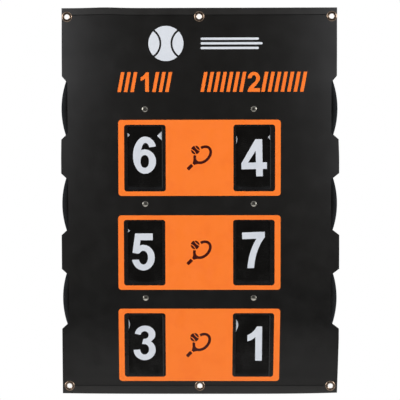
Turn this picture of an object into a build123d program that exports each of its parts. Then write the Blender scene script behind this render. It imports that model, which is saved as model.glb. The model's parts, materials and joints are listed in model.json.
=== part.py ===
from build123d import *
import math
import os

# A hanging tennis scoreboard: two flexible sheets, closed by a folded hem at the top and the bottom,
# hold six number discs between them. Each disc turns on a two-piece pivot, is read through a window
# in the front sheet, and is turned by its rim in a notch at the side.
# The front looks along -Y, +X is to the right seen from the front, and +Z is up.
# The origin is the middle of the board, which is also the centre of the corner eyelets.

# Number discs
disc_radius = 181.5
disc_thickness = 0.5
disc_gap = 0.3
disc_side_clearance = 0.2

# Sheets
sheet_thickness = 0.6
side_setback = 0.5
top_band = 35.0
bottom_band = 30.0
hem_width = 16.0
hem_allowance = 0.05
back_ramp_bottom = 40.0
back_ramp_top = 8.0

# Windows in the front sheet
window_width = 76.0
window_height = 135.0
window_corner = 3.0
window_to_rim = 8.2

# Finger notches in both sheets
notch_length = 136.0
notch_depth = 14.0

# Pivots: a post with a domed head in front, a slotted screw behind, a spacer washer on each side
post_radius = 3.0
post_clearance = 0.08
sheet_hole_clearance = 0.1
head_radius = 6.5
head_height = 2.0
head_rim = 0.5
thread_radius = 2.0
thread_clearance = 0.05
post_floor = 0.8
screw_tip_gap = 0.5
screw_tip_chamfer = 0.3
slot_width = 1.2
slot_depth = 0.9
slot_turn = 50.0
washer_radius = 8.0
washer_running_gap = 0.1

# Layout of the six pivots: each disc stays clear of the washers of the pivot below it
column_spacing = 236.0
disc_to_washer = 16.5
row_pitch = disc_radius + washer_radius + disc_to_washer
row_count = 3

# Eyelets
eyelet_hole_radius = 5.5
eyelet_wall = 0.5
eyelet_clearance = 0.05
eyelet_flange_radius = 11.0
eyelet_crown = 1.2
eyelet_mouth = 0.5
eyelet_ring_thickness = 0.6
eyelet_ring_crown = 0.5
eyelet_lip_radius = 7.6
eyelet_lip_thickness = 0.5
eyelet_side_inset = 13.5
eyelet_end_inset = 17.0
flange_to_sheet = 0.05

# The discs overlap their neighbours, so they lie like shingles: all six are tilted alike, each upper disc
# lies in front of the lower one, and the right column lies in front of the left one.
layer_pitch = disc_thickness + disc_gap
row_tilt = 2 * layer_pitch / row_pitch
column_tilt = layer_pitch / column_spacing
disc_normal = Vector(-column_tilt, 1, -row_tilt)
disc_across = Vector(1, column_tilt, 0)
tilt = math.hypot(row_tilt, column_tilt)

# Overall size, worked out from the discs
board_width = column_spacing + 2 * (disc_radius + side_setback)
board_height = (row_count - 1) * row_pitch + 2 * disc_radius + top_band + bottom_band
half_width = board_width / 2
top = board_height / 2
bottom = -board_height / 2

# Half the room between the sheets, and the outer faces of the sheets
pocket = tilt * disc_radius + disc_thickness / 2 + disc_side_clearance
front_face = -(pocket + sheet_thickness)
back_face = pocket + sheet_thickness
front_middle = -(pocket + sheet_thickness / 2)
back_middle = pocket + sheet_thickness / 2

# The hems lie where the tilted discs end, so the top hem is set back and the bottom hem forward.
hem_shift = row_tilt * disc_radius + hem_allowance
fold_radius = 1.5 * sheet_thickness
fold_inner_radius = 0.5 * sheet_thickness
top_fold = top - fold_radius
bottom_fold = bottom + fold_radius
top_hem_line = top - hem_width
bottom_hem_line = bottom + hem_width
flange_reach = eyelet_end_inset + eyelet_flange_radius
front_slope = (sheet_thickness - flange_to_sheet) / (flange_reach - hem_width)

# Places of the pivots and eyelets, as (x, z)
top_row = top - top_band - disc_radius
row_heights = [top_row - row * row_pitch for row in range(row_count)]
columns = {"left": -column_spacing / 2, "right": column_spacing / 2}
pivot_places = [(x, z) for x in columns.values() for z in row_heights]
eyelet_x = half_width - eyelet_side_inset
eyelet_z = top - eyelet_end_inset
eyelet_columns = {"left": -eyelet_x, "middle": 0, "right": eyelet_x}
eyelet_rows = {"top": (eyelet_z, hem_shift), "bottom": (-eyelet_z, -hem_shift)}
eyelet_places = [(x, z) for x in eyelet_columns.values() for z, _ in eyelet_rows.values()]

# Windows, measured from each pivot down to the middle of the window
window_drop = disc_radius - window_to_rim - window_height / 2

os.makedirs("parts", exist_ok=True)


# What is cut from both sheets: finger notches, pivot holes and eyelet holes
notch_floor = half_width - notch_depth
notch_reach = half_width + sheet_thickness
with BuildSketch(Plane.XZ) as sheet_cuts:
    for side in (-1, 1):
        for z in row_heights:
            half_floor = notch_length / 2 - notch_depth
            half_mouth = notch_length / 2 + sheet_thickness
            with BuildLine():
                Polyline(
                    (side * notch_floor, z - half_floor),
                    (side * notch_reach, z - half_mouth),
                    (side * notch_reach, z + half_mouth),
                    (side * notch_floor, z + half_floor),
                    close=True,
                )
            make_face()
    with Locations(*pivot_places):
        Circle(post_radius + sheet_hole_clearance)
    with Locations(*eyelet_places):
        Circle(eyelet_hole_radius + eyelet_wall + eyelet_clearance)

# The window openings of the front sheet
with BuildSketch(Plane.XZ) as window_cuts:
    with Locations(*[(x, z - window_drop) for x, z in pivot_places]):
        RectangleRounded(window_width, window_height, window_corner)


# Front sheet: its middle runs from one hem, forward round the discs, to the other hem.
front_rise_bottom = (-hem_shift - front_middle) / front_slope
front_rise_top = (hem_shift - front_middle) / front_slope
front_path = [
    (-hem_shift, bottom_fold),
    (-hem_shift, bottom_hem_line),
    (front_middle, bottom_hem_line + front_rise_bottom),
    (front_middle, top_hem_line - front_rise_top),
    (hem_shift, top_hem_line),
    (hem_shift, top_fold),
]
half_sheet = sheet_thickness / 2
with BuildPart() as front_sheet:
    with BuildSketch(Plane.YZ):
        with BuildLine():
            Polyline(
                *[(y - half_sheet, z) for y, z in front_path],
                *[(y + half_sheet, z) for y, z in reversed(front_path)],
                close=True,
            )
        make_face()
    extrude(amount=half_width, both=True)
    extrude(sheet_cuts.sketch, amount=board_width, both=True, mode=Mode.SUBTRACT)
    extrude(window_cuts.sketch, amount=board_width, both=True, mode=Mode.SUBTRACT)
front_sheet.part.label = "front_sheet"
export_step(front_sheet.part, "parts/front_sheet.step")


# Back sheet: its top and bottom ends fold forward over the front sheet's ends, as the hems.
with BuildPart() as back_sheet:
    with BuildSketch(Plane.YZ):
        with BuildLine():
            outer_bottom = Line(
                (-hem_shift - fold_radius, bottom_hem_line),
                (-hem_shift - fold_radius, bottom_fold),
            )
            outer_bottom_fold = ThreePointArc(
                outer_bottom @ 1, (-hem_shift, bottom), (-hem_shift + fold_radius, bottom_fold)
            )
            outer_back = Polyline(
                outer_bottom_fold @ 1,
                (-hem_shift + fold_radius, bottom + flange_reach),
                (back_face, bottom + flange_reach + back_ramp_bottom),
                (back_face, top - flange_reach - back_ramp_top),
                (hem_shift + fold_radius, top - flange_reach),
                (hem_shift + fold_radius, top_fold),
            )
            outer_top_fold = ThreePointArc(
                outer_back @ 1, (hem_shift, top), (hem_shift - fold_radius, top_fold)
            )
            top_flap = Polyline(
                outer_top_fold @ 1,
                (hem_shift - fold_radius, top_hem_line),
                (hem_shift - fold_inner_radius, top_hem_line),
                (hem_shift - fold_inner_radius, top_fold),
            )
            inner_top_fold = ThreePointArc(
                top_flap @ 1,
                (hem_shift, top_fold + fold_inner_radius),
                (hem_shift + fold_inner_radius, top_fold),
            )
            inner_back = Polyline(
                inner_top_fold @ 1,
                (hem_shift + fold_inner_radius, top - flange_reach),
                (pocket, top - flange_reach - back_ramp_top),
                (pocket, bottom + flange_reach + back_ramp_bottom),
                (-hem_shift + fold_inner_radius, bottom + flange_reach),
                (-hem_shift + fold_inner_radius, bottom_fold),
            )
            inner_bottom_fold = ThreePointArc(
                inner_back @ 1,
                (-hem_shift, bottom_fold - fold_inner_radius),
                (-hem_shift - fold_inner_radius, bottom_fold),
            )
            Polyline(
                inner_bottom_fold @ 1,
                (-hem_shift - fold_inner_radius, bottom_hem_line),
                outer_bottom @ 0,
            )
        make_face()
    extrude(amount=half_width, both=True)
    extrude(sheet_cuts.sketch, amount=board_width, both=True, mode=Mode.SUBTRACT)
back_sheet.part.label = "back_sheet"
export_step(back_sheet.part, "parts/back_sheet.step")


def save_disc(label, x, z):
    """A flat number disc, tilted like all the others, with its pivot hole."""
    with BuildPart() as disc:
        with BuildSketch(Plane(origin=(x, 0, z), x_dir=disc_across, z_dir=disc_normal)):
            Circle(disc_radius)
            Circle(post_radius + post_clearance, mode=Mode.SUBTRACT)
        extrude(amount=disc_thickness / 2, both=True)
    disc.part.label = label
    export_step(disc.part, f"parts/{label}.step")


def save_post(label, x, z):
    """The front half of a pivot: a domed head on a tube with a blind threaded hole."""
    grip = back_face - front_face
    with BuildPart() as post:
        with BuildSketch(Plane(origin=(x, front_face, z))):
            with BuildLine():
                crown = TangentArc((0, -head_height), (head_radius, -head_rim), tangent=(1, 0))
                Polyline(
                    crown @ 1,
                    (head_radius, 0),
                    (post_radius, 0),
                    (post_radius, grip),
                    (thread_radius, grip),
                    (thread_radius, post_floor),
                    (0, post_floor),
                    crown @ 0,
                )
            make_face()
        revolve(axis=Axis((x, 0, z), (0, 1, 0)))
    post.part.label = label
    export_step(post.part, f"parts/{label}.step")


def save_screw(label, x, z, slot_angle):
    """The back half of a pivot: a low slotted head on a screw that fills the post's hole."""
    shank_radius = thread_radius - thread_clearance
    shank_length = back_face - front_face - post_floor - screw_tip_gap
    with BuildPart() as screw:
        with BuildSketch(Plane(origin=(x, back_face, z))):
            with BuildLine():
                crown = TangentArc((0, head_height), (head_radius, head_rim), tangent=(1, 0))
                Polyline(
                    crown @ 1,
                    (head_radius, 0),
                    (shank_radius, 0),
                    (shank_radius, screw_tip_chamfer - shank_length),
                    (shank_radius - screw_tip_chamfer, -shank_length),
                    (0, -shank_length),
                    crown @ 0,
                )
            make_face()
        revolve(axis=Axis((x, 0, z), (0, 1, 0)))
        head_top = Plane(
            origin=(x, back_face + head_height, z), x_dir=(1, 0, 0), z_dir=(0, 1, 0)
        )
        with BuildSketch(head_top):
            Rectangle(slot_width, 2 * head_radius + slot_width, rotation=slot_angle)
        extrude(amount=-slot_depth, mode=Mode.SUBTRACT)
    screw.part.label = label
    export_step(screw.part, f"parts/{label}.step")


def save_washer(label, x, y, z, towards_disc):
    """A spacer washer on the post, from the inner face of a sheet to just short of the disc."""
    thickness = pocket - disc_thickness / 2 - tilt * washer_radius - washer_running_gap
    with BuildPart() as washer:
        with BuildSketch(Plane(origin=(x, y, z), x_dir=(1, 0, 0), z_dir=(0, towards_disc, 0))):
            Circle(washer_radius)
            Circle(post_radius + sheet_hole_clearance, mode=Mode.SUBTRACT)
        extrude(amount=thickness)
    washer.part.label = label
    export_step(washer.part, f"parts/{label}.step")


def save_eyelet(label, x, y, z):
    """An eyelet: a crowned flange on the flap, and a tube through the hem, rolled over behind."""
    tube_radius = eyelet_hole_radius + eyelet_wall
    stack = 2 * fold_radius + eyelet_ring_thickness
    mouth = eyelet_hole_radius + eyelet_mouth
    crown_radius = (mouth + eyelet_flange_radius) / 2
    with BuildPart() as eyelet:
        with BuildSketch(Plane(origin=(x, y, z))):
            with BuildLine():
                crown = ThreePointArc(
                    (eyelet_flange_radius, 0), (crown_radius, -eyelet_crown), (mouth, -eyelet_crown / 2)
                )
                tube = Polyline(
                    crown @ 1,
                    (eyelet_hole_radius, -eyelet_mouth / 2),
                    (eyelet_hole_radius, stack + eyelet_lip_thickness / 2),
                    (tube_radius, stack + eyelet_lip_thickness),
                )
                lip = ThreePointArc(
                    tube @ 1,
                    ((tube_radius + eyelet_lip_radius) / 2, stack + eyelet_lip_thickness),
                    (eyelet_lip_radius, stack),
                )
                Polyline(lip @ 1, (tube_radius, stack), (tube_radius, 0), crown @ 0)
            make_face()
        revolve(axis=Axis((x, 0, z), (0, 1, 0)))
    eyelet.part.label = label
    export_step(eyelet.part, f"parts/{label}.step")


def save_eyelet_ring(label, x, y, z):
    """The ring behind an eyelet, which the tube's end is rolled over."""
    bore = eyelet_hole_radius + eyelet_wall + eyelet_clearance
    crown_radius = (eyelet_lip_radius + eyelet_flange_radius) / 2
    with BuildPart() as ring:
        with BuildSketch(Plane(origin=(x, y, z))):
            with BuildLine():
                crown = ThreePointArc(
                    (eyelet_flange_radius, 0),
                    (crown_radius, eyelet_ring_thickness + eyelet_ring_crown / 2),
                    (eyelet_lip_radius, eyelet_ring_thickness),
                )
                Polyline(crown @ 1, (bore, eyelet_ring_thickness), (bore, 0), crown @ 0)
            make_face()
        revolve(axis=Axis((x, 0, z), (0, 1, 0)))
    ring.part.label = label
    export_step(ring.part, f"parts/{label}.step")


# Discs and pivots, numbered from the top row down
pivot_number = 0
for column, x in columns.items():
    for row, z in enumerate(row_heights, start=1):
        place = f"{column}_{row}"
        pivot_number += 1
        save_disc(f"disc_{place}", x, z)
        save_post(f"pivot_post_{place}", x, z)
        save_screw(f"pivot_screw_{place}", x, z, pivot_number * slot_turn)
        save_washer(f"front_washer_{place}", x, -pocket, z, 1)
        save_washer(f"back_washer_{place}", x, pocket, z, -1)

# Eyelets through the hems
for row, (z, hem_y) in eyelet_rows.items():
    for column, x in eyelet_columns.items():
        save_eyelet(f"eyelet_{row}_{column}", x, hem_y - fold_radius, z)
        save_eyelet_ring(f"eyelet_ring_{row}_{column}", x, hem_y + fold_radius, z)

print("board", board_width, "x", board_height, "mm, between outer faces", back_face - front_face, "mm")
print("pivot heights", row_heights, "columns", list(columns.values()), "window drop", window_drop)
print("disc axis", tuple(disc_normal.normalized()), "tilt in degrees", math.degrees(tilt))
print("pocket", pocket, "hem shift", hem_shift, "eyelets at", eyelet_x, eyelet_z)
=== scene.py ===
import json
import math

import bpy
import numpy as np
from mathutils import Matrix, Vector
from mathutils.geometry import delaunay_2d_cdt


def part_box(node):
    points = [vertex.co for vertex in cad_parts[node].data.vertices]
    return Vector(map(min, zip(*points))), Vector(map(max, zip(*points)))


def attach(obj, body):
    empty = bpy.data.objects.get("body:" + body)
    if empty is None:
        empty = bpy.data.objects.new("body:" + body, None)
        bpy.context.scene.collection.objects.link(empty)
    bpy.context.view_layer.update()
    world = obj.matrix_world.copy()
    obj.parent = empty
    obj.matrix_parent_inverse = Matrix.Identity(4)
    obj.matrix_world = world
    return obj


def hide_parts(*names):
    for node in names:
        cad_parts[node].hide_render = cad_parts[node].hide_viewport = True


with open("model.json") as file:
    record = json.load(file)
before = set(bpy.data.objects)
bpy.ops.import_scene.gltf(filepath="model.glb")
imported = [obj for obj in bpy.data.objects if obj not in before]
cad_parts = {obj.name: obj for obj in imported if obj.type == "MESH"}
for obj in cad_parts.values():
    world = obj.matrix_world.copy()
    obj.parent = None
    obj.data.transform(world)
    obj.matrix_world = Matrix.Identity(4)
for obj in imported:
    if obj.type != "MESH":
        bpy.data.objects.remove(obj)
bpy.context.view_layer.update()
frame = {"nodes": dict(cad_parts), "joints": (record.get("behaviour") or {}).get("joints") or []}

# The looks of a hanging tennis scoreboard. The sheets are cut flat and then hung and folded, and the prints
# are thin films of ink on them and on the turning discs. All sizes are in metres, written in millimetres.
mm = 0.001

# Camera, placed where the photograph was taken from
camera_place = (27.4 * mm, -2495.6 * mm, 146.1 * mm)
camera_turn = (86.784, 0.108, 0.599)
camera_lens = 103.22
camera_sensor = 36.0

camera_data = bpy.data.cameras.new("camera")
camera_data.lens = camera_lens
camera_data.sensor_width = camera_sensor
camera = bpy.data.objects.new("camera", camera_data)
camera.location = camera_place
camera.rotation_euler = [math.radians(angle) for angle in camera_turn]
bpy.context.scene.collection.objects.link(camera)
bpy.context.scene.camera = camera

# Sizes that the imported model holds
columns = ("left", "right")
row_numbers = (1, 2, 3)
places = [f"{column}_{row}" for column in columns for row in row_numbers]
joints = {joint["child"]: joint for joint in frame["joints"]}


def middle(node):
    """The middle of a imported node's box."""
    low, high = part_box(node)
    return (low + high) / 2


low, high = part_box("back_sheet")
half_width, bottom, top = high.x, low.z, high.z
back_face = high.y
front_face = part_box("front_sheet")[0].y
pivots = {place: middle(f"pivot_post_{place}") for place in places}
eyelets = [middle(name) for name in frame["nodes"] if name.startswith("eyelet_ring")]

# Sizes of the sheets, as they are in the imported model
sheet_thickness = 0.6 * mm
hem_width = 16.0 * mm
hem_shift = 2.0 * mm
fold_radius = sheet_thickness
fold_reach = 1.5 * sheet_thickness
flange_reach = 28.0 * mm
sheet_slope = 0.55 / 12.0
back_ramp_bottom = 40.0 * mm
back_ramp_top = 8.0 * mm
notch_length = 136.0 * mm
notch_depth = 14.0 * mm
notch_floor = half_width - notch_depth
window_size = (76.0 * mm, 135.0 * mm, 3.0 * mm)
window_drop = 105.8 * mm
pivot_hole = 3.1 * mm
eyelet_hole = 6.05 * mm
disc_thickness = 0.5 * mm
hem_y = {row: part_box(f"eyelet_ring_{row}_middle")[0].y - fold_reach for row in ("top", "bottom")}

# How the sheets are drawn: corners of a hole, how far a notch is cut past the edge, the straight part after a
# fold, and how soft the bends are
hole_steps = {"pivot": 24, "eyelet": 32}
overcut = 1.0 * mm
fold_straight = 2.0 * mm
front_bend_reach = 5.0 * mm
back_bend_reach = 4.0 * mm

# Sizes of the prints
ink_thickness = 0.05 * mm
panel_size = (354.0 * mm, 164.4 * mm, 6.5 * mm)
panel_shift = -0.5 * mm
panel_drop = 105.5 * mm
border_size = (90.5 * mm, 144.0 * mm, 6.0 * mm)

# What is off its regular place, in millimetres, by place, column or row. Edges are moved in the order left,
# right, lower and upper. A notch's ends are its lower and its upper one. The lip is a strip at the right of a
# window, where the window is narrower than in the imported model; in rows 1 and 3 it is a pale painted
# highlight where the window's cut edge catches the light.
notch_ends = {1: (2.2, 3.2), 2: (0.0, -1.3), 3: (0.0, -4.2)}
window_narrower = {"left": 1.7, "right": 2.7}
window_lip = 1.7
panel_edges = {1: (1.2, 0.0, -0.7, 0.0), 2: (0.0, 0.0, -0.4, -1.6), 3: (-0.3, -0.2, 4.1, -0.5)}
border_edges = {1: (0.0, 0.0, -0.9, 0.0), 2: (0.0, 0.0, -0.7, -0.9), 3: (0.0, 0.0, 3.6, 0.3)}
border_shift = {
    "left_1": -0.4,
    "left_2": -2.0,
    "left_3": -2.3,
    "right_1": 1.2,
    "right_2": 0.4,
    "right_3": 0.1,
}
racket_shift = {1: (2.0, 0.0), 2: (0.9, -1.0), 3: (-0.8, 1.8)}


# Outlines, as lists of (x, z) points


def arc(x, z, rx, rz, start, end, steps=20):
    """Points on an ellipse's arc, from one angle in degrees to another."""
    angles = np.radians(np.linspace(start, end, steps + 1))
    return [(x + rx * math.cos(a), z + rz * math.sin(a)) for a in angles]


def oval(x, z, rx, rz, power=2.0, steps=56):
    """A closed oval, squarer than an ellipse where the power is over 2."""
    points = []
    for a in np.linspace(0, 2 * math.pi, steps, endpoint=False):
        c, s = math.cos(a), math.sin(a)
        points.append(
            (
                x + math.copysign(rx * abs(c) ** (2 / power), c),
                z + math.copysign(rz * abs(s) ** (2 / power), s),
            )
        )
    return points


def bend(start, control, end, steps=10):
    """Points on a smooth bend from start to end, drawn towards a control point."""
    points = []
    for t in np.linspace(0, 1, steps + 1):
        a, b, c = (1 - t) ** 2, 2 * t * (1 - t), t * t
        points.append(
            (
                a * start[0] + b * control[0] + c * end[0],
                a * start[1] + b * control[1] + c * end[1],
            )
        )
    return points


def rounded(x, z, width, height, radius):
    """A rectangle with round corners."""
    points = []
    for side_x, side_z, start in ((1, 1, 0), (-1, 1, 90), (-1, -1, 180), (1, -1, 270)):
        corner_x = x + side_x * (width / 2 - radius)
        corner_z = z + side_z * (height / 2 - radius)
        points += arc(corner_x, corner_z, radius, radius, start, start + 90, 6)
    return points


def with_edges(x, z, width, height, radius, edges):
    """A rectangle with round corners whose left, right, lower and upper edges are moved, in millimetres."""
    left, right, lower, upper = (edge * mm for edge in edges)
    x += (left + right) / 2
    z += (lower + upper) / 2
    return rounded(x, z, width + right - left, height + upper - lower, radius)


def stroke(line, width):
    """The outline of a line of constant width with square ends."""
    line = np.array(line, float)
    run = np.gradient(line, axis=0)
    run /= np.linalg.norm(run, axis=1)[:, None]
    side = np.column_stack([-run[:, 1], run[:, 0]]) * width / 2
    return [tuple(p) for p in np.concatenate([line + side, (line - side)[::-1]])]


def moved(outline, x=0.0, z=0.0, turn=0.0, size=1.0):
    """An outline made larger, then turned about the origin in degrees, then moved."""
    c, s = math.cos(math.radians(turn)), math.sin(math.radians(turn))
    return [(x + size * (c * px - s * pz), z + size * (s * px + c * pz)) for px, pz in outline]


# Flat cuts and what is made of them: the least height of a triangle, the least length of an edge's part, how
# far the grid's points keep from edges, and when two points or two places count as one
thinnest = 0.002 * mm
shortest = 0.05 * mm
grid_clearance = 0.2 * mm
merged_within = 1e-6
across_least = 1e-7
sharp_angle = 40


def inside(points, outlines):
    """Which points lie inside at least one of the closed outlines."""
    found = np.zeros(len(points), bool)
    for outline in outlines:
        odd = np.zeros(len(points), bool)
        ends = np.array(outline)
        for (x0, z0), (x1, z1) in zip(ends, np.roll(ends, -1, axis=0)):
            crosses = (z0 > points[:, 1]) != (z1 > points[:, 1])
            if z1 != z0:
                at = x0 + (points[:, 1] - z0) * (x1 - x0) / (z1 - z0)
                odd ^= crosses & (points[:, 0] < at)
        found |= odd
    return found


def on_grid(outline, across, along):
    """An outline with a further point wherever it crosses a line of the grid."""
    points = []
    for (x0, z0), (x1, z1) in zip(outline, outline[1:] + outline[:1]):
        shares = [0.0]
        if abs(x1 - x0) > across_least:
            shares += [(x - x0) / (x1 - x0) for x in across]
        if abs(z1 - z0) > across_least:
            shares += [(z - z0) / (z1 - z0) for z in along]
        length = math.hypot(x1 - x0, z1 - z0)
        last = -1.0
        for t in sorted(share for share in shares if 0 <= share < 1):
            if t == 0 or min(t - last, 1 - t) * length > shortest:
                points.append((x0 + t * (x1 - x0), z0 + t * (z1 - z0)))
                last = t
    return points


def cut(wholes, holes=(), across=(), along=()):
    """Triangles of the wholes less the holes, with the grid's points inside them."""
    outlines = [on_grid(outline, across, along) for outline in [*wholes, *holes]]
    points = [point for outline in outlines for point in outline]
    edges = []
    start = 0
    for outline in outlines:
        count = len(outline)
        edges += [(start + i, start + (i + 1) % count) for i in range(count)]
        start += count
    if len(across) and len(along):
        grid = np.array([(x, z) for x in across for z in along])
        grid = grid[inside(grid, wholes) & ~inside(grid, holes)]
        edge_points = np.array(points)
        clear = [np.abs(edge_points - g).max(axis=1).min() > grid_clearance for g in grid]
        points += [tuple(g) for g in grid[np.array(clear, bool)]]
    made = delaunay_2d_cdt([Vector(p) for p in points], edges, [], 0, merged_within)
    flat = np.array([tuple(v) for v in made[0]])
    triangles = np.array(made[2])
    centres = flat[triangles].mean(axis=1)
    kept = inside(centres, wholes)
    if holes:
        kept &= ~inside(centres, holes)
    a, b, c = (flat[triangles[:, i]] for i in range(3))
    longest = np.max([np.linalg.norm(p - q, axis=1) for p, q in ((a, b), (b, c), (c, a))], axis=0)
    twice_area = np.abs((b - a)[:, 0] * (c - a)[:, 1] - (b - a)[:, 1] * (c - a)[:, 0])
    kept &= twice_area > thinnest * longest
    used, corners = np.unique(triangles[kept], return_inverse=True)
    return flat[used], corners.reshape(-1, 3)


def film(name, flat, triangles, place, thickness, finish, body, slot):
    """A closed thin solid: a flat cut, put in place, with a thickness and a rim.

    place takes the cut's points and gives the points of its middle and its outward directions."""
    centre, outward = place(flat)
    count = len(flat)
    corners = np.concatenate([centre + outward * thickness / 2, centre - outward * thickness / 2])
    a, b, c = (centre[triangles[:, i]] for i in range(3))
    facing = (np.cross(b - a, c - a) * outward[triangles[:, 0]]).sum(axis=1)
    triangles = np.where((facing < 0)[:, None], triangles[:, ::-1], triangles)
    sides = np.concatenate([triangles[:, [0, 1]], triangles[:, [1, 2]], triangles[:, [2, 0]]])
    _, first, uses = np.unique(np.sort(sides, axis=1), axis=0, return_index=True, return_counts=True)
    rim = sides[first[uses == 1]]
    faces = [tuple(t) for t in triangles]
    faces += [tuple(t[::-1] + count) for t in triangles]
    faces += [(j, i, i + count, j + count) for i, j in rim]
    mesh = bpy.data.meshes.new(name)
    mesh.from_pydata([tuple(p) for p in corners], [], [tuple(int(i) for i in f) for f in faces])
    mesh.materials.append(finish)
    mesh.validate()
    corner_points = np.empty(len(mesh.loops), int)
    mesh.loops.foreach_get("vertex_index", corner_points)
    mesh.uv_layers.new(name="flat").data.foreach_set("uv", flat[corner_points % count].ravel())
    mesh.shade_smooth()
    mesh.set_sharp_from_angle(angle=math.radians(sharp_angle))
    piece = bpy.data.objects.new(name, mesh)
    bpy.context.scene.collection.objects.link(piece)
    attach(piece, body)
    return piece


# Materials: each varies in colour and roughness, and has relief at its own scale


def node(tree, kind, settings=None, **inputs):
    """A shader node with its settings, and its inputs set to a value or linked to a socket."""
    made = tree.nodes.new(kind)
    for key, value in (settings or {}).items():
        setattr(made, key, value)
    for key, value in inputs.items():
        socket = made.inputs[key.replace("_", " ")]
        if isinstance(value, bpy.types.NodeSocket):
            tree.links.new(value, socket)
        else:
            socket.default_value = value
    return made


def coordinates(tree, kind):
    """A surface's own coordinates: Object, UV or Normal, or Generated for the room's directions."""
    return tree.nodes.new("ShaderNodeTexCoord").outputs[kind]


def parts_of(tree, vector):
    """A vector's parts X, Y and Z."""
    return node(tree, "ShaderNodeSeparateXYZ", Vector=vector).outputs


def noise(tree, vector, scale, detail=3.0, roughness=0.55):
    """A noise pattern's value."""
    made = node(tree, "ShaderNodeTexNoise", Scale=scale, Detail=detail, Roughness=roughness, Vector=vector)
    return made.outputs["Fac"]


def bands(tree, vector, direction, pitch, distortion=0.0):
    """Even bands across one axis, a pitch apart. At scale 1 the texture's bands are pi / 10 apart."""
    made = node(
        tree,
        "ShaderNodeTexWave",
        {"wave_type": "BANDS", "bands_direction": direction},
        Vector=vector,
        Scale=math.pi / 10 / pitch,
        Distortion=distortion,
    )
    return made.outputs["Fac"]


def math_of(tree, operation, first, second):
    """Two values put together."""
    made = node(tree, "ShaderNodeMath", {"operation": operation})
    for socket, value in zip(made.inputs, (first, second)):
        if isinstance(value, bpy.types.NodeSocket):
            tree.links.new(value, socket)
        else:
            socket.default_value = value
    return made.outputs[0]


def product(tree, *values):
    """Several values multiplied together."""
    found = values[0]
    for value in values[1:]:
        found = math_of(tree, "MULTIPLY", found, value)
    return found


def spread(tree, value, low, high, start=0.3, end=0.7):
    """A value's range from start to end spread over a new one from low to high."""
    ends = {"From_Min": start, "From_Max": end, "To_Min": low, "To_Max": high}
    return node(tree, "ShaderNodeMapRange", Value=value, **ends).outputs["Result"]


def ramp(tree, value, stops):
    """A colour ramp through (position, colour) stops."""
    made = node(tree, "ShaderNodeValToRGB", Fac=value)
    elements = made.color_ramp.elements
    while len(elements) < len(stops):
        elements.new(0.5)
    for element, (position, colour) in zip(elements, stops):
        element.position = position
        element.color = (*colour, 1.0)
    return made.outputs["Color"]


def relief(tree, shader, heights):
    """Layers of relief, each a height pattern and its depth in metres."""
    below = None
    for height, depth in heights:
        made = node(tree, "ShaderNodeBump", Height=height, Distance=depth, Strength=1.0)
        if below is not None:
            tree.links.new(below, made.inputs["Normal"])
        below = made.outputs["Normal"]
    tree.links.new(below, shader.inputs["Normal"])


def linear(red, green, blue):
    """A colour of 0 to 255 a channel as scene light."""
    values = []
    for channel in (red, green, blue):
        share = channel / 255
        values.append(share / 12.92 if share <= 0.04045 else ((share + 0.055) / 1.055) ** 2.4)
    return tuple(values)


def start_material(name, metallic=0.0, **sockets):
    """A new material, its node tree, its shader and the surface's own coordinates."""
    made = bpy.data.materials.new(name)
    made.use_nodes = True
    tree = made.node_tree
    shader = tree.nodes["Principled BSDF"]
    shader.inputs["Metallic"].default_value = metallic
    for key, value in sockets.items():
        shader.inputs[key.replace("_", " ")].default_value = value
    return made, tree, shader, coordinates(tree, "Object")


thread_sway = 0.6


def weave(tree, place, pitch):
    """The threads of a woven base cloth that press through a coating."""
    warp, weft = (bands(tree, place, direction, pitch, thread_sway) for direction in ("X", "Z"))
    return product(tree, warp, weft)


def mixed(tree, colour, share, other):
    """A colour mixed towards another one by a share."""
    made = node(tree, "ShaderNodeMix", {"data_type": "RGBA", "blend_type": "MIX"}, Factor=share)
    tree.links.new(colour, made.inputs[6])
    made.inputs[7].default_value = (*other, 1.0)
    return made.outputs[2]


def free_edges(tree, edges, width):
    """A value that is 1 at a sheet's free edges, given by their place along its flat cut."""
    along = parts_of(tree, coordinates(tree, "UV"))["Y"]
    found = None
    for edge in edges:
        away = math_of(tree, "ABSOLUTE", math_of(tree, "SUBTRACT", along, edge), 0.0)
        near = spread(tree, away, 1.0, 0.0, width * 0.7, width)
        found = near if found is None else math_of(tree, "MAXIMUM", found, near)
    return found


def painted_sheen_share(tree, place):
    """How much painted sheen a sheet gets: most at the upper part of its sides, and a little along its foot.
    """
    parts = parts_of(tree, place)
    height = parts["Z"]
    outwards = product(tree, math_of(tree, "ABSOLUTE", parts["X"], 0.0), 1 / half_width)
    at_sides = math_of(tree, "POWER", outwards, 4.0)
    upper = math_of(tree, "POWER", spread(tree, height, 0.0, 1.0, -0.22, 0.25), 1.6)
    over_heads = spread(tree, height, 0.8, 1.0, 0.24, 0.265)
    sides = product(tree, at_sides, 0.9, upper, over_heads)
    foot = spread(tree, height, 0.12, 0.0, -0.34, -0.25)
    foot = product(tree, foot, spread(tree, height, 0.0, 1.0, -0.4, -0.36))
    clouds = spread(tree, noise(tree, place, 5.0, 3.0), 0.55, 0.95)
    return product(tree, math_of(tree, "ADD", sides, foot), clouds)


def dark_band_share(tree, place):
    """How much darker a sheet is made: a band across it at the lowest pivots."""
    height = parts_of(tree, place)["Z"]
    below = spread(tree, height, 0.45, 0.0, -0.2, -0.165)
    return product(tree, below, spread(tree, height, 0.0, 1.0, -0.31, -0.265))


thread_pitch = 1.3 * mm
disc_grain_pitch = 0.7 * mm
free_edge_width = 1.3 * mm
# A near-black that a band across the sheets is darkened towards, and that the free edges take as a painted
# shadow.
band_and_edge_shadow_black = linear(4, 4, 4)
# Painted sheen: a pale grey standing in for the lamps and the floor reflected in the satin sheets.
painted_sheen_grey = linear(70, 70, 71)
dust_grey = linear(110, 108, 105)


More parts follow.
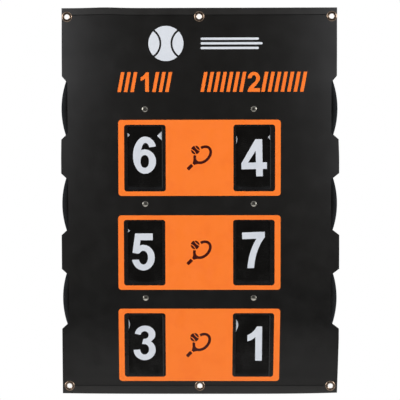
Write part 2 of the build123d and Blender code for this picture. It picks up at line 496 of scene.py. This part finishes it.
def coated_cloth(name, dark, light, rough, edges=()):
    """Woven cloth with a satin plastic coating: soft clouds, painted sheen, a darker band, painted edge
    shadow, dust, pressed threads.
    """
    made, tree, shader, place = start_material(name, Specular_IOR_Level=0.35)
    clouds = noise(tree, place, 7.0, 4.0)
    dust = noise(tree, place, 900.0, 2.0)
    colour = ramp(tree, clouds, [(0.3, dark), (0.7, light)])
    # Darker in a band across the sheet at the lowest pivots.
    colour = mixed(tree, colour, dark_band_share(tree, place), band_and_edge_shadow_black)
    # Painted sheen at the upper sides and along the foot of the sheet.
    colour = mixed(tree, colour, painted_sheen_share(tree, place), painted_sheen_grey)
    colour = mixed(tree, colour, spread(tree, dust, 0.0, 0.5, 0.72, 0.8), dust_grey)
    heights = [
        (noise(tree, place, 14.0, 2.0), 0.5 * mm),
        (weave(tree, place, thread_pitch), 0.03 * mm),
        (noise(tree, place, 2500.0, 2.0), 0.004 * mm),
    ]
    if edges:
        # Painted shadow: the free edges of the hem flaps darken to near-black, standing in for the shadow at
        # each flap's edge.
        edge = free_edges(tree, edges, free_edge_width)
        colour = mixed(tree, colour, edge, band_and_edge_shadow_black)
        heights.append((math_of(tree, "SUBTRACT", 1.0, edge), 0.12 * mm))
    tree.links.new(colour, shader.inputs["Base Color"])
    tree.links.new(spread(tree, noise(tree, place, 25.0, 5.0), *rough), shader.inputs["Roughness"])
    relief(tree, shader, heights)
    return made


def printed_ink(name, main, ink_wear_and_rim_sheen, pitch, rough=(0.38, 0.52)):
    """Screen-printed ink: nearly even, a little thinner in clouds, over the cloth's threads."""
    made, tree, shader, place = start_material(name)
    clouds = noise(tree, place, 18.0, 5.0)
    tree.links.new(ramp(tree, clouds, [(0.25, ink_wear_and_rim_sheen), (0.5, main), (1.0, main)]), shader.inputs["Base Color"])
    tree.links.new(spread(tree, noise(tree, place, 60.0, 4.0), *rough), shader.inputs["Roughness"])
    heights = [(weave(tree, place, pitch), 0.008 * mm), (noise(tree, place, 1800.0, 3.0), 0.004 * mm)]
    relief(tree, shader, heights)
    return made


def disc_plastic(name, pivot):
    """Glossy black plastic with fine rub marks in rings round its pivot, and a painted paler sheen at its
    rim.
    """
    made, tree, shader, place = start_material(name)
    from_pivot = node(tree, "ShaderNodeVectorMath", {"operation": "SUBTRACT"})
    tree.links.new(place, from_pivot.inputs[0])
    from_pivot.inputs[1].default_value = (pivot.x, 0.0, pivot.z)
    distance = node(tree, "ShaderNodeVectorMath", {"operation": "LENGTH"})
    tree.links.new(from_pivot.outputs[0], distance.inputs[0])
    ring = node(tree, "ShaderNodeCombineXYZ", X=distance.outputs["Value"])
    rings = noise(tree, ring.outputs["Vector"], 900.0, 4.0, 0.7)
    haze = noise(tree, place, 22.0, 4.0)
    colour = ramp(tree, haze, [(0.3, linear(9, 8, 7)), (0.75, linear(14, 13, 12))])
    # Painted reflection: near the rim the colour turns to a pale bluish grey, standing in for the side lamps
    # reflected there.
    ink_wear_and_rim_sheen = spread(tree, distance.outputs["Value"], 0.0, 0.4, 0.1685, 0.181)
    ink_wear_and_rim_sheen = product(tree, ink_wear_and_rim_sheen, spread(tree, noise(tree, place, 40.0, 4.0), 0.7, 1.0))
    tree.links.new(mixed(tree, colour, ink_wear_and_rim_sheen, linear(64, 68, 72)), shader.inputs["Base Color"])
    marks = product(tree, rings, haze)
    tree.links.new(spread(tree, marks, 0.14, 0.34, 0.12, 0.4), shader.inputs["Roughness"])
    relief(tree, shader, [(noise(tree, place, 9.0, 1.0), 0.25 * mm), (rings, 0.003 * mm)])
    return made


def plated_metal(name, bright, dull, rough, blotch, grain, rim=None):
    """Plated sheet metal: darker and rougher in blotches, with fine polishing marks.

    rim gives a painted shade: a darker colour on faces that turn away from the front."""
    made, tree, shader, place = start_material(name, metallic=1.0)
    clouds = noise(tree, place, blotch, 5.0, 0.65)
    colour = ramp(tree, clouds, [(0.32, dull), (0.6, bright)])
    if rim:
        # Painted shade: faces that turn away from the front take the darker rim colour, dimming the bright
        # rims of the heads.
        facing = math_of(tree, "ABSOLUTE", parts_of(tree, coordinates(tree, "Normal"))["Y"], 0.0)
        colour = mixed(tree, colour, spread(tree, facing, 1.0, 0.0, 0.905, 0.945), rim)
    tree.links.new(colour, shader.inputs["Base Color"])
    tree.links.new(spread(tree, noise(tree, place, blotch * 2.0, 4.0), *rough), shader.inputs["Roughness"])
    relief(tree, shader, [(noise(tree, place, grain, 4.0, 0.7), 0.006 * mm)])
    return made


def nylon(name):
    """Natural nylon, slightly cloudy, with a fine moulded grain."""
    made, tree, shader, place = start_material(name, Subsurface_Weight=0.1, Subsurface_Scale=1.0 * mm)
    clouds = noise(tree, place, 120.0, 3.0)
    colour = ramp(tree, clouds, [(0.3, linear(205, 203, 192)), (0.7, linear(228, 226, 218))])
    tree.links.new(colour, shader.inputs["Base Color"])
    tree.links.new(spread(tree, noise(tree, place, 400.0, 3.0), 0.4, 0.55), shader.inputs["Roughness"])
    relief(tree, shader, [(noise(tree, place, 1500.0, 2.0), 0.01 * mm)])
    return made


satin_rough = (0.3, 0.42)
# Painted shade for the steep rims of the pivot heads.
nickel_painted_rim_shade = linear(72, 70, 66)
front_cloth = coated_cloth("front_cloth", linear(20, 19, 18), linear(24, 23, 22), (0.3, 0.4))
orange_ink = printed_ink("orange_ink", linear(255, 125, 38), linear(250, 117, 34), thread_pitch)
white_ink = printed_ink("white_ink", linear(220, 224, 231), linear(208, 213, 222), thread_pitch)
dark_ink = printed_ink("dark_ink", linear(60, 3, 0), linear(66, 8, 3), thread_pitch, satin_rough)
border_ink = printed_ink("border_ink", linear(20, 18, 18), linear(24, 22, 21), thread_pitch, (0.22, 0.32))
# Painted highlight: a pale grey for a window's cut edge catching the light.
painted_lip_glint = printed_ink("painted_lip_glint", linear(42, 42, 42), linear(50, 50, 50), thread_pitch, satin_rough)
number_ink = printed_ink(
    "number_ink", linear(216, 220, 227), linear(205, 210, 219), disc_grain_pitch, satin_rough
)
nickel = plated_metal(
    "nickel", linear(200, 196, 187), linear(156, 151, 142), (0.12, 0.3), 260.0, 1800.0, nickel_painted_rim_shade
)
brass = plated_metal("brass", linear(138, 121, 106), linear(76, 59, 49), (0.16, 0.36), 180.0, 1500.0)
washer_nylon = nylon("washer_nylon")

for name, part in frame["nodes"].items():
    if name.startswith("disc_"):
        finish = disc_plastic(f"plastic_{name}", pivots[name.removeprefix("disc_")])
    elif name.startswith("pivot_"):
        finish = nickel
    elif name.startswith("eyelet_"):
        finish = brass
    elif "washer" in name:
        finish = washer_nylon
    else:
        continue
    part.data.materials.clear()
    part.data.materials.append(finish)


# How the sheets hang, seen as paths of (y, z) points


def soft_corner(before, corner, after, reach):
    """Points of a soft bend where a path turns at a corner."""
    corner = np.array(corner)
    ends = []
    for other in (before, after):
        run = np.array(other) - corner
        ends.append(corner + run / np.linalg.norm(run) * reach)
    return bend(tuple(ends[0]), tuple(corner), tuple(ends[1]), 6)


def soft_path(corners, reach):
    """A path through corners, softened at each of them."""
    points = [corners[0]]
    for before, corner, after in zip(corners, corners[1:], corners[2:]):
        points += soft_corner(before, corner, after, reach)
    return points + [corners[-1]]


fold_bottom = bottom + fold_reach
fold_top = top - fold_reach
hem_line_bottom = bottom + hem_width + hem_shift
hem_line_top = top - hem_width + hem_shift
front_middle = front_face + sheet_thickness / 2
back_middle = back_face - sheet_thickness / 2
rise_bottom = (hem_y["bottom"] - front_middle) / sheet_slope
rise_top = (hem_y["top"] - front_middle) / sheet_slope
front_path = np.array(
    soft_path(
        [
            (hem_y["bottom"], fold_bottom),
            (hem_y["bottom"], hem_line_bottom),
            (front_middle, hem_line_bottom + rise_bottom),
            (front_middle, hem_line_top - rise_top),
            (hem_y["top"], hem_line_top),
            (hem_y["top"], fold_top),
        ],
        front_bend_reach,
    )
)
back_path = (
    [(hem_y["bottom"] - fold_radius, hem_line_bottom)]
    + arc(hem_y["bottom"], fold_bottom, fold_radius, fold_radius, 180, 360, 8)
    + soft_path(
        [
            (hem_y["bottom"] + fold_radius, fold_bottom + fold_straight),
            (hem_y["bottom"] + fold_radius, bottom + flange_reach),
            (back_middle, bottom + flange_reach + back_ramp_bottom),
            (back_middle, top - flange_reach - back_ramp_top),
            (hem_y["top"] + fold_radius, top - flange_reach),
            (hem_y["top"] + fold_radius, fold_top - fold_straight),
        ],
        back_bend_reach,
    )
    + arc(hem_y["top"], fold_top, fold_radius, fold_radius, 0, 180, 8)
    + [(hem_y["top"] - fold_radius, hem_line_top)]
)
back_path = np.array(back_path)
back_steps = np.linalg.norm(np.diff(back_path, axis=0), axis=1)
back_along = np.concatenate([[0.0], np.cumsum(back_steps)])
back_run = np.gradient(back_path, back_along, axis=0)
back_run /= np.linalg.norm(back_run, axis=1)[:, None]
back_length = back_along[-1]
flap_length = fold_bottom - bottom + hem_width - 2 * fold_reach

back_edges = (0.0, back_length)
back_cloth = coated_cloth("back_cloth", linear(33, 32, 31), linear(38, 37, 36), (0.34, 0.46), back_edges)

ripple_height = 0.35 * mm
ripple_calm = 40.0 * mm
ripple_across = 43.0 * mm
ripple_up = 71.0 * mm
ripple_sway = 110.0 * mm
ripple_swing = 1.7
ripple_start = 0.6


def ripple(x, z):
    """How far a sheet stands out in soft ripples: none at its pivots and hems."""
    across = np.sin(x / ripple_across + ripple_swing * np.sin(z / ripple_sway))
    waves = across * np.sin(z / ripple_up + ripple_start)
    height = ripple_height * (1 + waves)
    for pivot in pivots.values():
        height *= 1 - np.exp(-((x - pivot.x) ** 2 + (z - pivot.z) ** 2) / ripple_calm**2)
    from_hem = np.minimum(top - z, z - bottom) - flange_reach
    share = np.clip(from_hem / ripple_calm, 0, 1)
    return height * share * share * (3 - 2 * share)


# How the hung sheets are off their flat outlines: a bulge of the top edge, both hems' edges past the
# eyelets, the bow of the sides at some heights, and the lower part of the front sheet
top_lift = 1.5 * mm
top_lift_place = -205.0 * mm
top_lift_spread = 40.0 * mm
top_lift_reach = 60.0 * mm
outside_eyelets = 409.5 * mm
top_edge_rise = 1.8 * mm
foot_drop = 1.1 * mm
foot_corner_rise = {"left": 1.4 * mm, "right": 2.9 * mm}
side_heights = np.array([-420.0, -300.0, -100.0, 100.0, 250.0, 420.0]) * mm
side_bow = {
    "left": np.array([1.6, 1.6, 1.2, 1.0, -2.0, -2.3]) * mm,
    "right": np.array([1.0, 4.4, 4.4, 3.3, -2.4, -2.4]) * mm,
}
lean = {"left": 0.9 * mm, "right": 2.4 * mm}
lean_heights = (-380.0 * mm, -225.0 * mm)
lean_places = (30.0 * mm, 90.0 * mm, 180.0 * mm, 260.0 * mm)


def lifted(x, z):
    """Heights on a sheet as it hangs: its top bulges at one side, and its hems' edges are not straight."""
    near_top = np.clip((z - hem_line_top + top_lift_reach) / top_lift_reach, 0, 1)
    rise = top_lift * np.exp(-(((x - top_lift_place) / top_lift_spread) ** 2)) * near_top**2
    margin = top - outside_eyelets
    rise += top_edge_rise * np.clip((z - outside_eyelets) / margin, 0, 1)
    corner_rise = np.where(x > 0, foot_corner_rise["right"], foot_corner_rise["left"])
    drop = foot_drop - corner_rise * (x / half_width) ** 4
    return z + rise - drop * np.clip((-z - outside_eyelets) / margin, 0, 1)


def bowed(x, z):
    """Places across a sheet as it hangs: its side edges bow a little."""
    left, right = (np.interp(z, side_heights, side_bow[column]) for column in columns)
    bow = np.where(x < 0, -left, right)
    return x + bow * np.clip((np.abs(x) - notch_floor) / notch_depth, 0, 1)


def leaned(x, z):
    """How far the lower part of the front sheet is drawn towards its middle, beside the windows."""
    low = np.interp(z, lean_heights, (1.0, 0.0))
    beside = np.interp(np.abs(x), lean_places, (0.0, 1.0, 1.0, 0.0))
    return low * beside * np.where(x > 0, -lean["right"], lean["left"])


def on_front(stand_out):
    """Places a flat cut (x, z) on the front sheet, its middle so far in front of the sheet's middle."""

    def place(flat):
        x, z = flat.T
        y = np.interp(z, front_path[:, 1], front_path[:, 0]) - ripple(x, z) - stand_out
        outward = np.tile([0.0, -1.0, 0.0], (len(flat), 1))
        return np.column_stack([bowed(x, z) + leaned(x, z), y, lifted(x, z)]), outward

    return place


def on_back(flat):
    """Places a flat cut (x, length along the path) on the folded back sheet."""
    x, along = flat.T
    y = np.interp(along, back_along, back_path[:, 0])
    z = np.interp(along, back_along, back_path[:, 1])
    run_y = np.interp(along, back_along, back_run[:, 0])
    run_z = np.interp(along, back_along, back_run[:, 1])
    outward = np.column_stack([np.zeros(len(flat)), run_z, -run_y])
    y = y + ripple(x, z)
    outward /= np.linalg.norm(outward, axis=1)[:, None]
    return np.column_stack([bowed(x, z), y, lifted(x, z)]), outward


# The two sheets
grid_pitch = 10.0 * mm
grid_across = np.arange(-half_width + grid_pitch / 2, half_width, grid_pitch)
grid_up = np.arange(bottom + grid_pitch, top, grid_pitch)
past_edge = half_width + overcut


def notches(height):
    """The finger notches, with heights on the sheet given by a function of z."""
    cuts = []
    for place in places:
        pivot = pivots[place]
        side = math.copysign(1, pivot.x)
        floor, mouth = notch_length / 2 - notch_depth, notch_length / 2 + overcut
        lower, upper = (end * mm for end in notch_ends[int(place[-1])])
        corners = [
            (notch_floor, lower - floor),
            (past_edge, lower - mouth),
            (past_edge, upper + mouth),
            (notch_floor, upper + floor),
        ]
        cuts.append([(side * x, height(pivot.z + z)) for x, z in corners])
    return cuts


def sheet_rectangle(low_end, high_end):
    """The outline of a sheet before its cut-outs."""
    return [(-half_width, low_end), (half_width, low_end), (half_width, high_end), (-half_width, high_end)]


def right_edge(place):
    """How far the right edge of a window is moved, in millimetres."""
    return -window_narrower[place.split("_")[0]]


def window_outline(place, moved_edge):
    """A window's outline with its right edge moved, in millimetres."""
    pivot = pivots[place]
    return with_edges(pivot.x, pivot.z - window_drop, *window_size, (0.0, moved_edge, 0.0, 0.0))


def pivot_cut(x, z):
    """A hole for a pivot."""
    return oval(x, z, pivot_hole, pivot_hole, steps=hole_steps["pivot"])


def eyelet_cut(x, z):
    """A hole for an eyelet."""
    return oval(x, z, eyelet_hole, eyelet_hole, steps=hole_steps["eyelet"])


windows = {place: window_outline(place, right_edge(place)) for place in places}
lips = {place: window_outline(place, right_edge(place) + window_lip) for place in places}
front_holes = list(windows.values()) + notches(lambda z: z)
front_holes += [pivot_cut(pivot.x, pivot.z) for pivot in pivots.values()]
front_holes += [eyelet_cut(eyelet.x, eyelet.z) for eyelet in eyelets]
front_rows = np.unique(np.concatenate([grid_up, front_path[:, 1]]).round(6))[1:-1]
front_sheet = film(
    "front_sheet_cloth",
    *cut([sheet_rectangle(fold_bottom, fold_top)], front_holes, grid_across, front_rows),
    on_front(0.0),
    sheet_thickness,
    front_cloth,
    "board",
    "front_sheet",
)
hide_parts("front_sheet")


def back_height(z):
    """The length along the back sheet's path at a height on its back."""
    first = int(np.argmin(back_path[:, 1]))
    last = int(np.argmax(back_path[:, 1]))
    return float(np.interp(z, back_path[first:last, 1], back_along[first:last]))


back_holes = notches(back_height)
back_holes += [pivot_cut(pivot.x, back_height(pivot.z)) for pivot in pivots.values()]
for eyelet in eyelets:
    flap = hem_line_top - eyelet.z if eyelet.z > 0 else eyelet.z - hem_line_bottom
    along_flap = back_length + flap if eyelet.z > 0 else -flap
    for along in (back_height(eyelet.z), along_flap):
        back_holes.append(eyelet_cut(eyelet.x, along))
back_grid = np.arange(2 * grid_pitch + flap_length, back_length - flap_length - 2 * grid_pitch, grid_pitch)
back_rows = np.unique(np.concatenate([back_grid, back_along]).round(6))[1:-1]
back_sheet = film(
    "back_sheet_cloth",
    *cut([sheet_rectangle(0.0, back_length)], back_holes, grid_across, back_rows),
    on_back,
    sheet_thickness,
    back_cloth,
    "board",
    "back_sheet",
)
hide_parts("back_sheet")


# The prints on the front sheet
on_print = on_front((sheet_thickness + ink_thickness) / 2)
on_second_print = on_front((sheet_thickness + 3 * ink_thickness) / 2)
racket_ball = (-10.2, 16.8)
racket_ball_radius = 9.5
racket_turn = 45.0


def front_print(name, wholes, holes, finish, slot, place=on_print):
    """A film of ink on the front sheet."""
    film(name, *cut(wholes, holes, grid_across, front_rows), place, ink_thickness, finish, "board", slot)


def racket():
    """A racket with its throat and grip, its head open where the ball is, in millimetres from the middle."""
    head = stroke(arc(8.5, 0.6, 20.2, 14.1, 67, -232, 48), 5.9)
    throat = bend((-10.6, 9.4), (-15.5, 5.2), (-20.4, 3.0), 6)
    throat += bend((-20.4, -2.0), (-15.5, -4.0), (-10.6, -8.2), 6)
    throat += [(-10.0, 0.6)]
    grip = rounded(-30.0, 1.1, 14.0, 7.3, 1.8)
    return [moved(outline, turn=racket_turn) for outline in (head, throat, grip)]


def racket_seams():
    """The two seams of the racket's ball, in millimetres from the middle."""
    seams = []
    for side in (-1, 1):
        line = moved(arc(side * 22.4, 0.0, 18.4, 18.4, 90 + side * 56, 90 + side * 124, 16), turn=racket_turn)
        seams.append(moved(stroke(line, 1.6), *racket_ball))
    return seams


for row in row_numbers:
    panel_z = pivots[f"left_{row}"].z - panel_drop
    borders = []
    for column in columns:
        place = f"{column}_{row}"
        pivot = pivots[place]
        border_x = pivot.x + border_shift[place] * mm
        border = with_edges(border_x, pivot.z - window_drop, *border_size, border_edges[row])
        borders.append(border)
        front_print(f"border_print_{place}", [border], [lips[place]], border_ink, "print_black")
        # In rows 1 and 3 the lip is a painted highlight; in row 2 it is border ink.
        lip_finish = border_ink if row == 2 else painted_lip_glint
        front_print(f"lip_strip_{place}", [lips[place]], [windows[place]], lip_finish, "print_black")
    front_print(
        f"panel_print_{row}",
        [with_edges(panel_shift, panel_z, *panel_size, panel_edges[row])],
        borders,
        orange_ink,
        "print_orange",
    )
    racket_x = panel_shift + racket_shift[row][0] * mm
    racket_z = panel_z + racket_shift[row][1] * mm
    figure = [*racket(), oval(*racket_ball, racket_ball_radius, racket_ball_radius)]
    front_print(
        f"racket_print_{row}",
        [moved(outline, racket_x, racket_z, size=mm) for outline in figure],
        [moved(outline, racket_x, racket_z, size=mm) for outline in racket_seams()],
        dark_ink,
        "print_black",
        on_second_print,
    )

# The numbers, drawn in millimetres about the middle of a figure, as (wholes, holes)
digit_height = 83.0
digits = {
    0: ([oval(0, 0, 25.7, 41.6, 2.5)], [oval(0, 0, 9.6, 28.0, 2.4)]),
    1: (
        [
            [(17.0, -40.4), (17.0, 40.4), (4.6, 40.4)]
            + bend((4.6, 40.4), (-2.5, 26.0), (-17.3, 19.4), 8)
            + [(-17.3, 4.8)]
            + bend((-17.3, 4.8), (-6.0, 8.0), (1.4, 15.4), 6)
            + [(1.4, -40.4)]
        ],
        [],
    ),
    2: (
        [
            arc(0.2, 15.6, 25.3, 25.8, 184, -24, 30)
            + bend((23.3, 5.1), (15.0, -9.0), (-2.0, -26.4), 10)
            + [(25.6, -26.4), (25.6, -41.4), (-26.2, -41.4)]
            + bend((-26.2, -41.4), (-24.0, -22.0), (2.2, -1.6), 12)
            + bend((2.2, -1.6), (9.7, 5.0), (9.8, 15.6), 6)
            + arc(0.4, 15.6, 9.4, 12.2, 0, 178, 14)
        ],
        [],
    ),
    3: (
        [
            arc(1.6, 20.0, 23.9, 20.6, 176, -28, 26)
            + [(15.2, 3.0)]
            + arc(0.3, -16.4, 25.8, 24.3, 48, -180, 30)
            + arc(0.3, -15.2, 10.4, 12.2, -178, 94, 22)
            + [(-5.6, -2.6), (-2.6, 9.4)]
            + arc(0.6, 18.6, 9.3, 9.0, -92, 178, 20)
        ],
        [],
    ),
    4: (
        [
            [
                (3.6, 41.6),
                (19.0, 41.6),
                (19.0, -10.4),
                (28.6, -10.4),
                (28.6, -25.2),
                (19.0, -25.2),
                (19.0, -41.6),
                (4.0, -41.6),
                (4.0, -25.2),
                (-28.6, -25.2),
                (-28.6, -11.8),
            ]
        ],
        [[(4.0, 15.8), (4.0, -10.4), (-13.6, -10.4)]],
    ),
    5: (
        [
            [(-18.4, 41.6), (21.4, 41.6), (21.4, 26.2), (-6.3, 26.2), (-8.2, 12.9)]
            + arc(0.0, -13.2, 25.7, 29.0, 106, -170, 34)
            + arc(0.0, -13.1, 10.5, 15.7, -163, 140, 26)
            + [(-12.7, -4.4), (-24.4, -2.1)]
        ],
        [],
    ),
    6: (
        [
            arc(0.5, 12.4, 25.4, 29.2, 15, 90, 12)
            + arc(0.5, -1.0, 26.4, 42.6, 90, 180, 16)
            + arc(0.5, -1.0, 26.4, 40.6, 180, 270, 16)
            + arc(0.5, -14.0, 25.4, 27.6, 270, 360, 14)
            + arc(0.5, -14.0, 25.4, 26.8, 0, 108, 16)
            + [(-9.3, 7.0)]
            + arc(1.9, 15.0, 8.3, 12.4, 168, 12, 14)
        ],
        [oval(0.6, -13.9, 9.4, 14.2, 2.2)],
    ),
    7: (
        [
            [(-25.5, 40.6), (25.6, 40.6), (25.6, 28.2)]
            + bend((25.6, 28.2), (4.0, 3.0), (-1.2, -40.6), 12)
            + [(-16.3, -40.6)]
            + bend((-16.3, -40.6), (-11.4, 0.0), (6.8, 25.4), 12)
            + [(-25.5, 25.4)]
        ],
        [],
    ),
}

# Where each number is printed on its disc, in millimetres: sideways, and outwards from the pivot
digit_places = {
    0: (3.0, 97.5),
    1: (3.7, 100.9),
    2: (-0.3, 97.0),
    3: (-3.4, 99.5),
    4: (-1.4, 106.0),
    5: (-5.0, 104.8),
    6: (0.6, 99.8),
    7: (-2.9, 101.1),
}

# By how much some prints are off those places, in millimetres, and each disc's own size and small turn
printed_off = {
    ("left_1", 5): (1.5, -1.5),
    ("left_1", 7): (6.6, -1.9),
    ("left_2", 4): (0.4, -0.3),
    ("left_2", 6): (-1.2, 3.0),
    ("left_3", 2): (0.0, 1.2),
    ("right_1", 3): (4.2, 5.4),
    ("right_2", 6): (-1.2, 8.0),
    ("right_2", 0): (1.5, 1.5),
    ("right_3", 0): (0.9, 1.8),
    ("right_3", 2): (0.0, 7.0),
}
number_size = {
    "left_1": 0.972,
    "left_2": 0.969,
    "left_3": 0.939,
    "right_1": 0.969,
    "right_2": 0.968,
    "right_3": 0.936,
}
set_by_hand = {"left_1": -1.1, "left_2": 0.0, "left_3": 0.0, "right_1": 1.1, "right_2": 2.0, "right_3": -0.7}
shown = {"left_1": 6, "left_2": 5, "left_3": 3, "right_1": 4, "right_2": 7, "right_3": 1}
digit_turn = 360 / len(digits)


def disc_numbers(place):
    """The eight numbers on a disc, in a ring with their heads to the pivot, on its tilted front."""
    joint = joints[f"disc_{place}"]
    axis = np.array(joint["axis"])
    centre = np.array(joint["pos_m"])
    across = np.array([axis[1], -axis[0], 0.0])
    across /= np.linalg.norm(across)
    up = np.cross(across, axis)
    offset = (disc_thickness + ink_thickness) / 2

    def on_disc(flat):
        points = centre + flat[:, :1] * across + flat[:, 1:] * up - offset * axis
        return points, np.tile(-axis, (len(flat), 1))

    wholes, holes = [], []
    for number, drawing in digits.items():
        side, out = np.add(digit_places[number], printed_off.get((place, number), (0.0, 0.0)))
        turn = digit_turn * (number - shown[place]) + set_by_hand[place]
        for outlines, kept in zip(drawing, (wholes, holes)):
            for outline in outlines:
                outline = moved(outline, side, -out, size=number_size[place])
                kept.append(moved(outline, turn=turn, size=mm))
    film(
        f"numbers_{place}",
        *cut(wholes, holes),
        on_disc,
        ink_thickness,
        number_ink,
        f"disc_{place}",
        "print_white",
    )


for place in places:
    disc_numbers(place)

# Plain headings over the two columns: the side's number between slanted stripes
heading_z = 262.0 * mm
heading_height = 43.0
heading_widths = {"left": 145.0, "right": 256.0}
stripe_width = 7.5
stripe_pitch = 14.0
stripe_slant = 8.0
number_room = 20.0

for number, column in enumerate(columns, start=1):
    wholes = [moved(outline, size=heading_height / digit_height) for outline in digits[number][0]]
    half_stripe = (stripe_width + stripe_slant) / 2
    last_stripe = heading_widths[column] / 2 - half_stripe
    for side in (-1, 1):
        for stripe in np.arange(number_room + stripe_width / 2, last_stripe, stripe_pitch):
            foot, head = side * stripe - stripe_slant / 2, side * stripe + stripe_slant / 2
            wholes.append(
                [
                    (foot - stripe_width / 2, -heading_height / 2),
                    (foot + stripe_width / 2, -heading_height / 2),
                    (head + stripe_width / 2, heading_height / 2),
                    (head - stripe_width / 2, heading_height / 2),
                ]
            )
    heading_x = pivots[f"{column}_1"].x
    front_print(
        f"heading_print_{column}",
        [moved(outline, heading_x, heading_z, size=mm) for outline in wholes],
        [],
        orange_ink,
        "print_orange",
    )

# A plain ball with trailing bars at the head of the board, drawn in millimetres
emblem_z = 345.0 * mm
ball_x = -72.0
ball_radius = 38.0
seam_middle = 46.0
seam_radius = 34.0
seam_width = 4.2
bar_start = 3.0
bar_length = 134.0
bar_shorter = 8.0
bar_height = 5.0
bar_corner = 2.4
bar_pitch = 10.0

emblem = [oval(ball_x, 0.0, ball_radius, ball_radius, steps=96)]
for step in (-1, 0, 1):
    length = bar_length - abs(step) * bar_shorter
    emblem.append(rounded(bar_start + length / 2, step * bar_pitch, length, bar_height, bar_corner))
emblem_seams = []
for side in (-1, 1):
    seam = arc(side * seam_middle, 0.0, seam_radius, seam_radius, 90 - side * 10, 90 + side * 190, 40)
    emblem_seams.append(moved(stroke(seam, seam_width), ball_x))
front_print(
    "emblem_print",
    [moved(outline, 0.0, emblem_z, size=mm) for outline in emblem],
    [moved(outline, 0.0, emblem_z, size=mm) for outline in emblem_seams],
    white_ink,
    "print_white",
)

# Floor: pale, well below the hanging board, and nearly white where it is looked at
floor_height = -0.9
floor_radius = 1.8
floor_steps = 96
floor_grey = 0.65
floor_roughness = 0.9
floor_glow = 0.8


def seen_share(tree, mirrored):
    """How much of a ray is looked along: all from the camera and through glass, a share in reflections."""
    rays = tree.nodes.new("ShaderNodeLightPath").outputs
    seen = math_of(tree, "MAXIMUM", rays["Is Camera Ray"], rays["Is Transmission Ray"])
    return math_of(tree, "MAXIMUM", seen, product(tree, rays["Is Glossy Ray"], mirrored))


floor_mesh = bpy.data.meshes.new("floor")
turns = np.linspace(0, 2 * math.pi, floor_steps, endpoint=False)
rim = [(floor_radius * math.cos(a), floor_radius * math.sin(a), floor_height) for a in turns]
floor_mesh.from_pydata(rim, [], [tuple(range(len(rim)))])
floor = bpy.data.objects.new("floor", floor_mesh)
bpy.context.scene.collection.objects.link(floor)
floor_finish, tree, shader, _ = start_material("floor", Roughness=floor_roughness)
shader.inputs["Base Color"].default_value = (floor_grey, floor_grey, floor_grey, 1.0)
glow = node(tree, "ShaderNodeEmission", Strength=1.0)
blend = node(tree, "ShaderNodeMixShader", Fac=product(tree, seen_share(tree, 1.0), floor_glow))
tree.links.new(shader.outputs[0], blend.inputs[1])
tree.links.new(glow.outputs[0], blend.inputs[2])
tree.links.new(blend.outputs[0], tree.nodes["Material Output"].inputs["Surface"])
floor_mesh.materials.append(floor_finish)

# Light: two large soft lamps before the board's sides and one behind it, as (place, size, power), and a pale
# room that is darker straight in front of the board, straight behind it and overhead
lamps = {
    "lamp_left": ((-2.5, -1.5, 0.8), (1.1, 1.8), 58.0),
    "lamp_right": ((2.5, -1.5, 0.8), (1.1, 1.8), 58.0),
    "lamp_back": ((0.3, 2.6, 1.2), (1.6, 1.2), 40.0),
}
for name, (lamp_place, size, power) in lamps.items():
    lamp = bpy.data.lights.new(name, "AREA")
    lamp.shape = "RECTANGLE"
    lamp.size, lamp.size_y = size
    lamp.energy = power
    lamp_object = bpy.data.objects.new(name, lamp)
    lamp_object.location = lamp_place
    lamp_object.rotation_euler = Vector(lamp_place).to_track_quat("Z", "Y").to_euler()
    bpy.context.scene.collection.objects.link(lamp_object)

room_light = 0.95
room_dark = 0.05
overhead_share = 0.35
facing_range = (0.35, 0.92)
overhead_range = (0.2, 0.9)
room = bpy.data.worlds.new("room")
bpy.context.scene.world = room
room.use_nodes = True
tree = room.node_tree
directions = parts_of(tree, coordinates(tree, "Generated"))
facing = math_of(tree, "ABSOLUTE", directions["Y"], 0.0)
around = spread(tree, facing, room_light, room_dark, *facing_range)
above = spread(tree, directions["Z"], 1.0, overhead_share, *overhead_range)
seen = seen_share(tree, spread(tree, facing, 1.0, room_dark, *facing_range))
strength = math_of(tree, "MAXIMUM", seen, product(tree, around, above))
tree.links.new(strength, tree.nodes["Background"].inputs["Strength"])
tree.nodes["Background"].inputs["Color"].default_value = (1.0, 1.0, 1.0, 1.0)

bpy.context.scene.view_settings.view_transform = "Standard"
